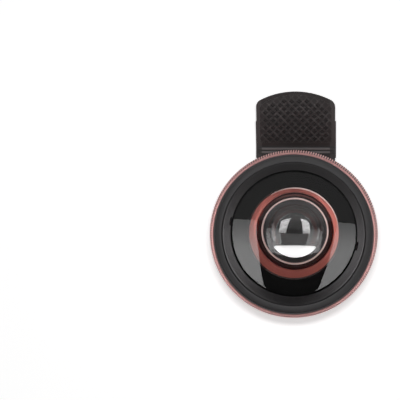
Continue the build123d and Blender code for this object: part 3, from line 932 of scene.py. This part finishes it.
@dataclass
class WideUnit:
    """The wide-angle unit: knurled barrel, threaded liner, lens ring and the big meniscus.

    The outlines cup, bowl and neck are radius and height in millimetres. The pairs bore and ledge are the
    height from which the inside has the bore's finish, and the radius up to which it has it. The first steps
    of the baffle and of the cone start the shares baffle_start and cone_start of a step further on.
    """

    palette: Palette
    cup: tuple[Ring, ...] = (
        (14.7, 32.575), (21.05, 32.575), (21.05, 35.64), (22.32, 35.64), (22.32, 37.54), (24.62, 37.54),
        (24.62, 41.3), (24.87, 41.55), (25.12, 41.55), (25.12, 36.95), (24.8, 36.95), (24.8, 36.45),
        (25.3, 35.95),
    )  # fmt: skip
    bowl: tuple[Ring, Ring, Ring] = ((25.3, 34.35), (22.25, 29.125), (18.0, 25.1))
    neck: tuple[Ring, ...] = (
        (17.5, 24.6), (17.5, 24.1), (18.0, 23.6), (18.0, 18.2), (17.5, 17.7), (14.0, 17.7), (14.0, 20.7),
    )  # fmt: skip
    edge_round: float = 0.12 * MM
    baffle_pitch: float = 0.45 * MM
    baffle_depth: float = 0.22 * MM
    baffle_start: float = 0.6
    baffle_slope: float = 0.36
    bore: tuple[float, float] = (20.0 * MM, 15.0 * MM)
    ledge: tuple[float, float] = (32.0 * MM, 22.0 * MM)
    teeth: int = RIM_TEETH
    tooth_depth: float = 0.42 * MM
    rim_chamfer: float = 0.55 * MM
    band_inner: float = 25.12 * MM
    band_bottom: float = 36.95 * MM
    groove_stop: float = 0.2 * MM
    front_curve: float = 65.0 * MM
    front_clear: float = 19.4 * MM
    rear_curve: float = 28.0 * MM
    rear_clear: float = 13.6 * MM
    glass_centre: float = 2.5 * MM
    glass_bevel: float = 0.15 * MM
    painted_from: float = 14.1 * MM
    crown_gap: float = 0.25 * MM
    thread_pitch: float = 0.75 * MM
    thread_depth: float = 0.28 * MM
    thread_crest: float = 24.2 * MM
    liner_fit: float = 0.02 * MM
    cone_inner: float = 19.75 * MM
    cone_lip: float = 0.35 * MM
    cone_steps: int = 8
    cone_start: float = 0.15
    cone_tilt: float = math.radians(13.0)
    notch_angle: float = math.radians(-11.0)
    notch_width: float = 2.2 * MM
    notch_depth: float = 0.45 * MM
    notch_floor: float = 0.17 * MM

    def build(self) -> None:
        """Builds and dresses the pieces of this unit."""
        self.build_body()
        self.build_rim()
        self.build_lens()
        self.build_liner()
        self.build_cone()

    def build_body(self) -> None:
        """The turned body: neck with its groove, bowl, shoulder, waist, and the stepped bore inside."""
        cup, bowl, neck = (in_metres(*corners) for corners in (self.cup, self.bowl, self.neck))
        outline = softened(cup + self.bowl_arc(bowl, 24) + neck, self.edge_round)
        outline += self.baffle(neck[-1], cup[0])
        body = lathe("wide_barrel_body", outline, 288, sharp=50.0)
        dress(body, *self.palette.get(Look.SATIN, Look.SHADED_BORE))
        paint(body, self.inner_wall)
        stand_in(body, "wide_barrel", Body.WIDE)

    def baffle(self, low: Ring, high: Ring) -> list[Ring]:
        """Fine steps cut outwards into the bore, which keep stray light off the glass.

        Args:
            low: lower end of the plain wall.
            high: its upper end.

        Returns:
            The points of the steps, from below upwards.
        """
        rows = int((high[1] - low[1]) / self.baffle_pitch) - 1
        points = []
        for row in range(rows):
            height = low[1] + (row + self.baffle_start) * self.baffle_pitch
            wall = low[0] + (high[0] - low[0]) * (height - low[1]) / (high[1] - low[1])
            points.append((wall, height))
            points.append((wall + self.baffle_depth, height + self.baffle_slope * self.baffle_depth))
        return points

    def inner_wall(self, radius: float, height: float, normal: Vector) -> int:
        """Slot 1, with painted shade, for the stepped bore and the ledge under the lens, 0 for the satin
        outside.
        """
        reach = self.ledge[1] if height > self.ledge[0] else self.bore[1]
        return int(height > self.bore[0] and radius < reach)

    @staticmethod
    def bowl_arc(ends: Sequence[Ring], steps: int) -> list[Ring]:
        """Points of a circular arc through three points.

        Args:
            ends: first, middle and last point, in metres.
            steps: stretches along the arc.

        Returns:
            The points as radius and height.
        """
        (ax, ay), (bx, by), (cx, cy) = ends
        turn = 2 * (ax * (by - cy) + bx * (cy - ay) + cx * (ay - by))
        a, b, c = ax * ax + ay * ay, bx * bx + by * by, cx * cx + cy * cy
        middle = Vector(((a * (by - cy) + b * (cy - ay) + c * (ay - by)) / turn,
                         (a * (cx - bx) + b * (ax - cx) + c * (bx - ax)) / turn))  # fmt: skip
        first, last = Vector(ends[0]) - middle, Vector(ends[2]) - middle
        start, sweep = math.atan2(first.y, first.x), first.angle_signed(last)
        return [
            (middle.x + first.length * math.cos(start - sweep * step / steps),
             middle.y + first.length * math.sin(start - sweep * step / steps))
            for step in range(steps + 1)
        ]  # fmt: skip

    def build_rim(self) -> None:
        """The knurled band of the rim, whose grooves run out in the chamfer above and in a thin lip below."""
        _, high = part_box("wide_barrel")
        tip, top = high.x, high.z
        end, bottom = tip - self.rim_chamfer, self.band_bottom
        foot = bottom + self.groove_stop
        outline = [
            (self.band_inner, top),
            (end - 0.1 * MM, top),
            (end, top - 0.02 * MM),
            (end + 0.07 * MM, top - 0.08 * MM),
            *rows_between((tip - 0.08 * MM, top - self.rim_chamfer + 0.08 * MM), (tip, top - 0.8 * MM), 2),
            (tip, foot + GROOVE_RUN),
            (tip, foot),
            (tip, bottom + 0.12 * MM),
            (tip - 0.1 * MM, bottom),
            (self.band_inner, bottom),
        ]
        knurled = knurl_rule(tip, end, self.teeth, self.tooth_depth, foot)
        rim = lathe("knurled_rim", outline, self.teeth * 6, sharp=40.0, shape=knurled)
        dress(rim, *self.palette.get(Look.RIM))
        stand_in(rim, "wide_barrel", Body.WIDE)

    def build_lens(self) -> None:
        """The front lens, its rear seat and rim painted black."""
        _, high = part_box("front_lens")
        front = spherical(high.z, self.front_curve, self.front_clear, -1, 48)
        rear = spherical(high.z - self.glass_centre, self.rear_curve, self.rear_clear, -1, 40)
        outline, middle = lens_section(front, rear, high.x, self.glass_bevel, self.painted_from)
        lens = lathe("front_lens_glass", outline, 224, sharp=12.0, closed=False)
        dress(lens, *self.palette.get(Look.GLASS, Look.PAINT))

        def coat(radius: float, height: float, normal: Vector) -> int:
            """Slot 1 for the painted edge and rear seat, 0 for the clear faces."""
            return int(radius > self.painted_from and (height < middle or abs(normal.z) < SIDEWAYS))

        paint(lens, coat)
        stand_in(lens, "front_lens", Body.WIDE_GLASS)

    def build_liner(self) -> None:
        """The black liner of the rim, with a real thread for filters."""
        low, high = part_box("filter_ring")
        crest, inner = self.thread_crest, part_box("lens_lock_ring")[1].x + self.liner_fit
        floor_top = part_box("front_lens")[1].z + self.crown_gap
        outline = [
            (inner, low.z),
            (high.x, low.z),
            (high.x, high.z),
            (crest + 0.1 * MM, high.z),
            *rows_between((crest, high.z - 0.1 * MM), (crest, floor_top), 48),
            (inner + 0.08 * MM, floor_top),
            (inner, floor_top - 0.08 * MM),
        ]
        threaded = thread_rule(self.thread_pitch, self.thread_depth, (crest, floor_top + 0.2 * MM, high.z))
        liner = lathe("filter_liner", outline, 240, sharp=40.0, shape=threaded)
        dress(liner, *self.palette.get(Look.BLACK))
        stand_in(liner, "filter_ring", Body.WIDE)

    def build_cone(self) -> None:
        """The black cone that holds the lens down, turned in fine steps, with two spanner notches, in a
        lighter copy of the black finish that paints light on it.
        """
        low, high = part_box("lens_lock_ring")
        outer = high.x - self.cone_lip
        climb = (high.z - low.z - self.cone_lip) / (outer - self.front_clear)
        width = (outer - self.cone_inner) / self.cone_steps
        rise = width * math.tan(self.cone_tilt)
        outline = [(self.cone_inner, low.z), (high.x, low.z), (high.x, high.z - 0.06 * MM)]
        outline += [(high.x - 0.08 * MM, high.z), (outer, high.z)]
        for step in range(self.cone_steps):
            radius = outer - step * width
            height = high.z - rise - (step + self.cone_start) * width * climb
            outline += [(radius, height), (radius - width, height + rise)]

        def notched(radius: float, height: float, angle: float) -> float:
            """Radius of the cone, set back at two places where a spanner grips."""
            off = abs(math.remainder(angle - self.notch_angle, math.pi)) * self.cone_inner
            whole = off > self.notch_width / 2 or height < low.z + self.notch_floor
            return radius if whole else max(radius, self.cone_inner + self.notch_depth)

        cone = lathe("lens_cone", outline, 360, sharp=25.0, shape=notched)
        dress(cone, *self.palette.get(Look.LIT_CONE))
        stand_in(cone, "lens_lock_ring", Body.WIDE)


@dataclass
class MacroUnit:
    """The macro unit: threaded barrel, knurled collar, lens ring and the thick positive lens.

    The outlines foot, shoulder and mouth are radius and height in millimetres. Each thread is its crest's
    radius, and the heights of its lower and upper end.
    """

    palette: Palette
    foot: tuple[Ring, ...] = ((9.75, 8.9), (11.45, 8.9), (11.65, 9.1))
    shoulder: tuple[Ring, ...] = ((11.65, 12.6), (13.95, 12.6), (13.95, 17.7))
    mouth: tuple[Ring, ...] = (
        (13.95, 20.42), (13.77, 20.6), (12.14, 20.6), (12.0, 20.55), (11.72, 20.27), (11.62, 20.05),
        (11.62, 16.1), (10.15, 16.1), (9.95, 12.0),
    )  # fmt: skip
    rear_thread: tuple[float, float, float] = (11.65 * MM, 9.3 * MM, 12.4 * MM)
    front_thread: tuple[float, float, float] = (13.95 * MM, 17.9 * MM, 20.3 * MM)
    thread_pitch: float = 0.75 * MM
    thread_depth: float = 0.3 * MM
    face_from: float = 20.0 * MM
    face_inner: float = 12.14 * MM
    collar_radius: float = 16.2 * MM
    collar_bottom: float = 12.6 * MM
    collar_top: float = 17.6 * MM
    collar_chamfer: float = 0.5 * MM
    teeth: int = COLLAR_TEETH
    tooth_depth: float = 0.4 * MM
    front_curve: float = 90.0 * MM
    front_clear: float = 10.15 * MM
    rear_curve: float = 26.5 * MM
    rear_clear: float = 10.1 * MM
    glass_bevel: float = 0.12 * MM

    def build(self) -> None:
        """Builds and dresses the pieces of this unit."""
        self.build_barrel()
        self.build_collar()
        self.build_lens()
        dress(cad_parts["macro_lock_ring"], *self.palette.get(Look.BLACK))
        LOG.info("macro_lock_ring is dressed")

    def build_barrel(self) -> None:
        """The turned barrel, threaded at both ends, with a bright chamfer at its mouth."""
        walls, spans = [], []
        for (crest, low, high), rows in ((self.rear_thread, 32), (self.front_thread, 26)):
            walls.append(rows_between((crest, low), (crest, high), rows))
            spans.append((crest, low - 0.05 * MM, high + 0.05 * MM))
        outline = in_metres(*self.foot) + walls[0] + in_metres(*self.shoulder) + walls[1]
        outline += in_metres(*self.mouth)
        threaded = thread_rule(self.thread_pitch, -self.thread_depth, *spans)
        barrel = lathe("macro_barrel_body", outline, 224, sharp=34.0, shape=threaded)
        dress(barrel, *self.palette.get(Look.TURNED, Look.SHADED_FACE, Look.BRIGHT))
        paint(barrel, self.zone)
        stand_in(barrel, "macro_barrel", Body.MACRO)

    def zone(self, radius: float, height: float, normal: Vector) -> int:
        """Slot 1 for the front face, darkened with painted shade, 2 for the bright chamfer at the mouth, 0
        elsewhere.
        """
        return 0 if height < self.face_from else 1 if radius > self.face_inner else 2

    def build_collar(self) -> None:
        """The knurled collar that turns the macro unit."""
        tip, inner, low, top = self.collar_radius, self.front_thread[0], self.collar_bottom, self.collar_top
        end = tip - self.collar_chamfer
        outline = [
            (inner, top),
            (end - 0.1 * MM, top),
            (end + 0.04 * MM, top - 0.05 * MM),
            (tip - 0.06 * MM, top - 0.44 * MM),
            (tip, top - 0.6 * MM),
            (tip, low + 0.12 * MM),
            (tip - 0.1 * MM, low),
            (inner, low),
        ]
        knurled = knurl_rule(tip, end, self.teeth, self.tooth_depth)
        collar = lathe("macro_collar", outline, self.teeth * 8, sharp=40.0, shape=knurled)
        dress(collar, *self.palette.get(Look.COLLAR))
        stand_in(collar, "macro_barrel", Body.MACRO)

    def build_lens(self) -> None:
        """The macro lens, clear on both faces and blackened round its edge."""
        low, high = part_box("macro_lens")
        front = spherical(high.z, self.front_curve, self.front_clear, -1, 28)
        rear = spherical(low.z, self.rear_curve, self.rear_clear, 1, 36)
        outline, _ = lens_section(front, rear, high.x, self.glass_bevel)
        lens = lathe("macro_lens_glass", outline, 192, sharp=12.0, closed=False)
        dress(lens, *self.palette.get(Look.GLASS, Look.PAINT, Look.REAR_FACE))
        paint(lens, self.coat)
        stand_in(lens, "macro_lens", Body.MACRO_GLASS)

    def coat(self, radius: float, height: float, normal: Vector) -> int:
        """Slot 1 for the painted edge and seats, 2 for the rear face, 0 for the front."""
        return 1 if radius > self.front_clear else 2 * int(normal.z < 0)


@dataclass
class Clip:
    """The sprung clip: two moulded arms, grip pads, jaw pads and the pin."""

    palette: Palette
    edge: float = 0.16 * MM
    softened_from: float = math.radians(40.0)
    crisp_from: float = math.radians(30.0)

    def build(self) -> None:
        """Dresses the clip's pieces and softens the moulded edges."""
        looks = {
            "front_arm": Look.PLASTIC,
            "rear_arm": Look.PLASTIC,
            "front_grip_pad": Look.GRIP,
            "rear_grip_pad": Look.GRIP,
            "front_pad": Look.PAD,
            "rear_pad": Look.PAD,
            "pivot_pin": Look.STEEL,
        }
        for node, look in looks.items():
            dress(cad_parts[node], *self.palette.get(look))
            LOG.info("%s is dressed", node)
        for node in ("front_arm", "rear_arm"):
            self.soften(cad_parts[node])

    def soften(self, piece: bpy.types.Object) -> None:
        """Breaks the sharp edges of a moulded piece.

        Args:
            piece: piece to soften, whose mesh stays as it is.
        """
        bevel = piece.modifiers.new("broken edges", "BEVEL")
        bevel.width = self.edge
        bevel.segments = 2
        bevel.limit_method = "ANGLE"
        bevel.angle_limit = self.softened_from
        bevel.harden_normals = True
        piece.data.shade_smooth()
        piece.data.set_sharp_from_angle(angle=self.crisp_from)


@dataclass
class Spring:
    """The torsion spring about the pin, with a leg in each lever.

    The front lever's underside slopes and lies front_ceiling from the pivot. The rear lever's top is level
    and lies rear_floor from it. held_at is not used.
    """

    palette: Palette
    wire: float = 0.4 * MM
    coil: float = 1.9 * MM
    gap: float = 0.15 * MM
    turns: int = 3
    leg: float = 9.0 * MM
    pivot: Ring = (25.5 * MM, 5.7 * MM)
    slope: float = math.radians(25.0)
    front_ceiling: float = 3.144 * MM
    rear_floor: float = 2.85 * MM
    held_at: float = 1.1 * MM
    coil_steps: int = 120
    leg_steps: int = 8
    sides: int = 14

    def build(self) -> None:
        """Winds the wire, with its legs laid against the two levers."""
        wire = self.wind(self.route())
        dress(wire, *self.palette.get(Look.STEEL))
        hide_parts("torsion_spring")
        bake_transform(wire)
        LOG.info("%s stands for torsion_spring", wire.name)

    def route(self) -> list[Vector]:
        """Middle line of the wire: rear leg, coil, front leg.

        Returns:
            The points from the tip of one leg to the tip of the other.
        """
        outer = self.coil + self.wire
        diagonal, corner = math.hypot(self.leg, outer), math.atan2(self.leg, outer)
        front = self.slope + corner - math.acos(self.front_ceiling / diagonal)
        rear = corner - math.acos(self.rear_floor / diagonal)
        sweep = 2 * math.pi * (self.turns - 0.5) - front - rear
        pitch = 2 * self.wire + self.gap
        start = Vector((pitch * sweep / (4 * math.pi), *self.pivot))
        down = Vector((0.0, -math.sin(rear), -math.cos(rear)))
        aside = Vector((0.0, -math.cos(rear), math.sin(rear)))
        coil = []
        for step in range(self.coil_steps + 1):
            turn = sweep * step / self.coil_steps
            spoke = self.coil * (math.cos(turn) * down + math.sin(turn) * aside)
            coil.append(start + spoke - Vector((pitch * turn / (2 * math.pi), 0, 0)))
        first, last = (coil[1] - coil[0]).normalized(), (coil[-1] - coil[-2]).normalized()
        shares = [step / self.leg_steps for step in range(1, self.leg_steps + 1)]
        before = [coil[0] - first * self.leg * share for share in reversed(shares)]
        after = [coil[-1] + last * self.leg * share for share in shares]
        return before + coil + after

    def wind(self, route: Sequence[Vector]) -> bpy.types.Object:
        """Lays a round wire along a route.

        Args:
            route: points of its middle line.

        Returns:
            The wire, with closed ends.
        """
        mesh = bmesh.new()
        loops = []
        across = Vector((1.0, 0.0, 0.0))
        for index, point in enumerate(route):
            ahead = route[min(index + 1, len(route) - 1)] - route[max(index - 1, 0)]
            ahead.normalize()
            across = (across - ahead * across.dot(ahead)).normalized()
            upward = ahead.cross(across)
            angles = [2 * math.pi * side / self.sides for side in range(self.sides)]
            loop = [point + self.wire * (math.cos(a) * across + math.sin(a) * upward) for a in angles]
            loops.append([mesh.verts.new(corner) for corner in loop])
        for near, far in zip(loops, loops[1:]):
            for side in range(self.sides):
                after = (side + 1) % self.sides
                mesh.faces.new((near[side], near[after], far[after], far[side]))
        mesh.faces.new(loops[0][::-1])
        mesh.faces.new(loops[-1])
        bmesh.ops.recalc_face_normals(mesh, faces=mesh.faces)
        return settle("spring_wire", mesh, 50.0)


@dataclass
class Studio:
    """White floor, soft panels left and right, a dim third one, a small key lamp, and the camera.

    The panels' corners are in plan, as shares of their height over the front lens. The gap between them is
    the dark one that shows in the glass. In the square picture, which is image pixels wide, rim_place and
    rim_pixels give the middle and the width of the rim's circle. Angles are in degrees.
    """

    left: tuple[Plan, ...] = (
        (-1.15, 0.13), (-1.15, -0.9), (-0.41, -0.9), (-0.422, -0.332), (-0.436, -0.086), (-0.441, 0.095),
    )  # fmt: skip
    right: tuple[Plan, ...] = (
        (0.462, 0.075), (0.431, -0.117), (0.361, -0.412), (0.245, -0.9), (1.1, -0.9), (1.1, 0.035),
    )  # fmt: skip
    far: tuple[Plan, ...] = ((-1.2, 0.14), (-0.445, 0.1), (0.462, 0.08), (1.2, 0.04), (1.2, 1.3), (-1.2, 1.3))
    distance: float = 0.6
    tilt_up: float = 3.2
    tilt_right: float = 1.5
    rim_radius: float = 26.0 * MM
    rim_pixels: float = 168.7
    rim_place: tuple[float, float] = (293.35, 234.4)
    image: float = 400.0
    sensor: float = 36.0
    panel_height: float = 0.6
    panel_radiance: float = 3.5
    left_gain: float = 1.24
    right_gain: float = 1.07
    panel_fade: float = 0.5
    fade_over: tuple[float, float] = (-0.3, 0.1)
    far_radiance: float = 0.38
    key_share: float = 0.42
    key_angle: float = 5.8
    key_wide: float = 2.5
    key_deep: float = 1.2
    floor_half: float = 1.5
    floor_level: float = -0.02 * MM
    floor_glow: float = 0.6
    floor_white: float = 0.95
    room_light: float = 0.06
    spared: bpy.types.Collection = field(init=False)

    def build(self) -> None:
        """Builds floor, world, lamps and camera."""
        self.build_floor()
        self.build_world()
        self.build_lamps()
        self.build_camera()

    def add_sheet(self, name: str, corners: Sequence[Plan], height: float) -> bpy.types.Object:
        """Adds a flat level sheet that isn't part of the object.

        Args:
            name: name of the sheet.
            corners: its corners in plan, in metres.
            height: its height in metres.

        Returns:
            The sheet, with an empty material of its own.
        """
        data = bpy.data.meshes.new(name)
        data.from_pydata([(x, y, height) for x, y in corners], [], [tuple(range(len(corners)))])
        sheet = bpy.data.objects.new(name, data)
        bpy.context.scene.collection.objects.link(sheet)
        material = bpy.data.materials.new(name)
        material.use_nodes = True
        tree = material.node_tree
        tree.nodes.remove(tree.nodes["Principled BSDF"])
        data.materials.append(material)
        return sheet

    def build_floor(self) -> None:
        """A large white floor that keeps the small shadow of the key lamp, but not the panels' wide ones."""
        half = self.floor_half
        corners = [(-half, -half), (half, -half), (half, half), (-half, half)]
        floor = self.add_sheet("floor", corners, self.floor_level)
        self.spared = bpy.data.collections.new("out_of_panel_light")
        self.spared.objects.link(floor)
        self.spared.collection_objects[0].light_linking.link_state = "EXCLUDE"
        tree = floor.data.materials[0].node_tree
        path = tree.nodes.new("ShaderNodeLightPath")
        seen = reckon(tree, "MAXIMUM", path.outputs["Is Camera Ray"], path.outputs["Is Glossy Ray"])
        seen = reckon(tree, "MULTIPLY", seen, self.floor_glow)
        glow = tree.nodes.new("ShaderNodeEmission")
        strength = reckon(tree, "MAXIMUM", seen, path.outputs["Is Transmission Ray"])
        tree.links.new(strength, glow.inputs["Strength"])
        matt = tree.nodes.new("ShaderNodeBsdfDiffuse")
        matt.inputs["Color"].default_value = (self.floor_white,) * 3 + (1.0,)
        both = tree.nodes.new("ShaderNodeAddShader")
        tree.links.new(glow.outputs[0], both.inputs[0])
        tree.links.new(matt.outputs[0], both.inputs[1])
        tree.links.new(both.outputs[0], tree.nodes["Material Output"].inputs["Surface"])

    def build_world(self) -> None:
        """White to the camera, dim to everything else."""
        world = bpy.data.worlds.new("studio_world")
        world.use_nodes = True
        bpy.context.scene.world = world
        tree = world.node_tree
        path = tree.nodes.new("ShaderNodeLightPath")
        dim, white = tree.nodes["Background"], tree.nodes.new("ShaderNodeBackground")
        for background, strength in ((dim, self.room_light), (white, 1.0)):
            background.inputs["Color"].default_value = (1.0, 1.0, 1.0, 1.0)
            background.inputs["Strength"].default_value = strength
        either = tree.nodes.new("ShaderNodeMixShader")
        tree.links.new(path.outputs["Is Camera Ray"], either.inputs["Fac"])
        tree.links.new(dim.outputs[0], either.inputs[1])
        tree.links.new(white.outputs[0], either.inputs[2])
        tree.links.new(either.outputs[0], tree.nodes["World Output"].inputs["Surface"])

    def add_panel(self, name: str, corners: Sequence[Plan], radiance: float, fade: float = 0.0) -> None:
        """Hangs one glowing panel over the object.

        Args:
            name: name of the panel.
            corners: its corners in plan, as shares of its height over the front lens.
            radiance: brightness of its face, where 1 renders as white.
            fade: share of that brightness lost towards the lever end.
        """
        height = self.panel_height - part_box("front_lens")[1].z
        panel = self.add_sheet(name, [(x * height, y * height) for x, y in corners], self.panel_height)
        tree = panel.data.materials[0].node_tree
        glow = tree.nodes.new("ShaderNodeEmission")
        glow.inputs["Strength"].default_value = radiance
        if fade:
            _, split = own_place(tree)
            start, end = (share * height for share in self.fade_over)
            dim = step_between(tree, split.outputs["Y"], start, end)
            strength = reckon(tree, "SUBTRACT", radiance, reckon(tree, "MULTIPLY", dim, fade * radiance))
            tree.links.new(strength, glow.inputs["Strength"])
        tree.links.new(glow.outputs[0], tree.nodes["Material Output"].inputs["Surface"])
        panel.visible_camera = False
        panel.light_linking.receiver_collection = self.spared

    def build_lamps(self) -> None:
        """Left and right panels, a dim one towards the lever end, and the small key lamp."""
        self.add_panel("left_panel", self.left, self.left_gain * self.panel_radiance, self.panel_fade)
        self.add_panel("right_panel", self.right, self.right_gain * self.panel_radiance, self.panel_fade)
        self.add_panel("far_panel", self.far, self.far_radiance)
        lean = math.radians(self.key_angle)
        data = bpy.data.lights.new("key", "AREA")
        data.shape = "ELLIPSE"
        data.size = 2 * self.panel_height * math.tan(math.radians(self.key_wide))
        data.size_y = 2 * self.panel_height * math.tan(math.radians(self.key_deep))
        # This many watts light a white floor to the share key_share of white.
        data.energy = self.key_share * math.pi * self.panel_height**2 * math.pi
        key = bpy.data.objects.new("key", data)
        aside = self.panel_height * math.tan(math.radians(self.tilt_right))
        key.location = (aside, self.panel_height * math.sin(lean), self.panel_height * math.cos(lean))
        key.rotation_euler = (-lean, 0.0, 0.0)
        key.visible_camera = key.visible_glossy = key.visible_transmission = False
        bpy.context.scene.collection.objects.link(key)

    def build_camera(self) -> None:
        """Looks down on the lens as the photograph does."""
        _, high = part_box("wide_barrel")
        centre = Vector((0.0, 0.0, high.z))
        up, right = math.radians(self.tilt_up), math.radians(self.tilt_right)
        direction = Vector((math.sin(right), math.sin(up), 1.0)).normalized()
        north = Vector((0.0, 1.0, 0.0))
        place = centre + direction * self.distance
        scale = 2 * self.rim_radius / self.rim_pixels
        data = bpy.data.cameras.new("camera")
        data.sensor_width = self.sensor
        data.lens = self.sensor * self.distance / (self.image * scale)
        data.clip_start = 0.01
        camera = bpy.data.objects.new("camera", data)
        bpy.context.scene.collection.objects.link(camera)
        across = north.cross(direction).normalized()
        upward = direction.cross(across)
        aside = (self.rim_place[0] - self.image / 2) * scale
        below = (self.rim_place[1] - self.image / 2) * scale
        aim = centre - across * aside + upward * below
        back = (place - aim).normalized()
        side = north.cross(back).normalized()
        turn = Matrix((side, back.cross(side), back)).transposed()
        camera.matrix_world = Matrix.Translation(place) @ turn.to_4x4()
        bpy.context.scene.camera = camera


def settle_render() -> None:
    """Plain view transform, and enough bounces for two lenses one behind the other."""
    scene = bpy.context.scene
    scene.view_settings.view_transform = "Standard"
    scene.cycles.max_bounces = 16
    scene.cycles.transmission_bounces = 12
    scene.cycles.glossy_bounces = 8
    scene.cycles.transparent_max_bounces = 16


def main() -> None:
    """Builds the object's finishes and pieces, then the studio."""
    logging.basicConfig(level=logging.INFO, format="%(name)s: %(message)s")
    palette = Palette(Effects())
    for assembly in (WideUnit, MacroUnit, Clip, Spring):
        assembly(palette).build()
        LOG.info("%s is built", assembly.__name__)
    Studio().build()
    LOG.info("Studio is built")
    settle_render()


if __name__ == "__main__":
    main()
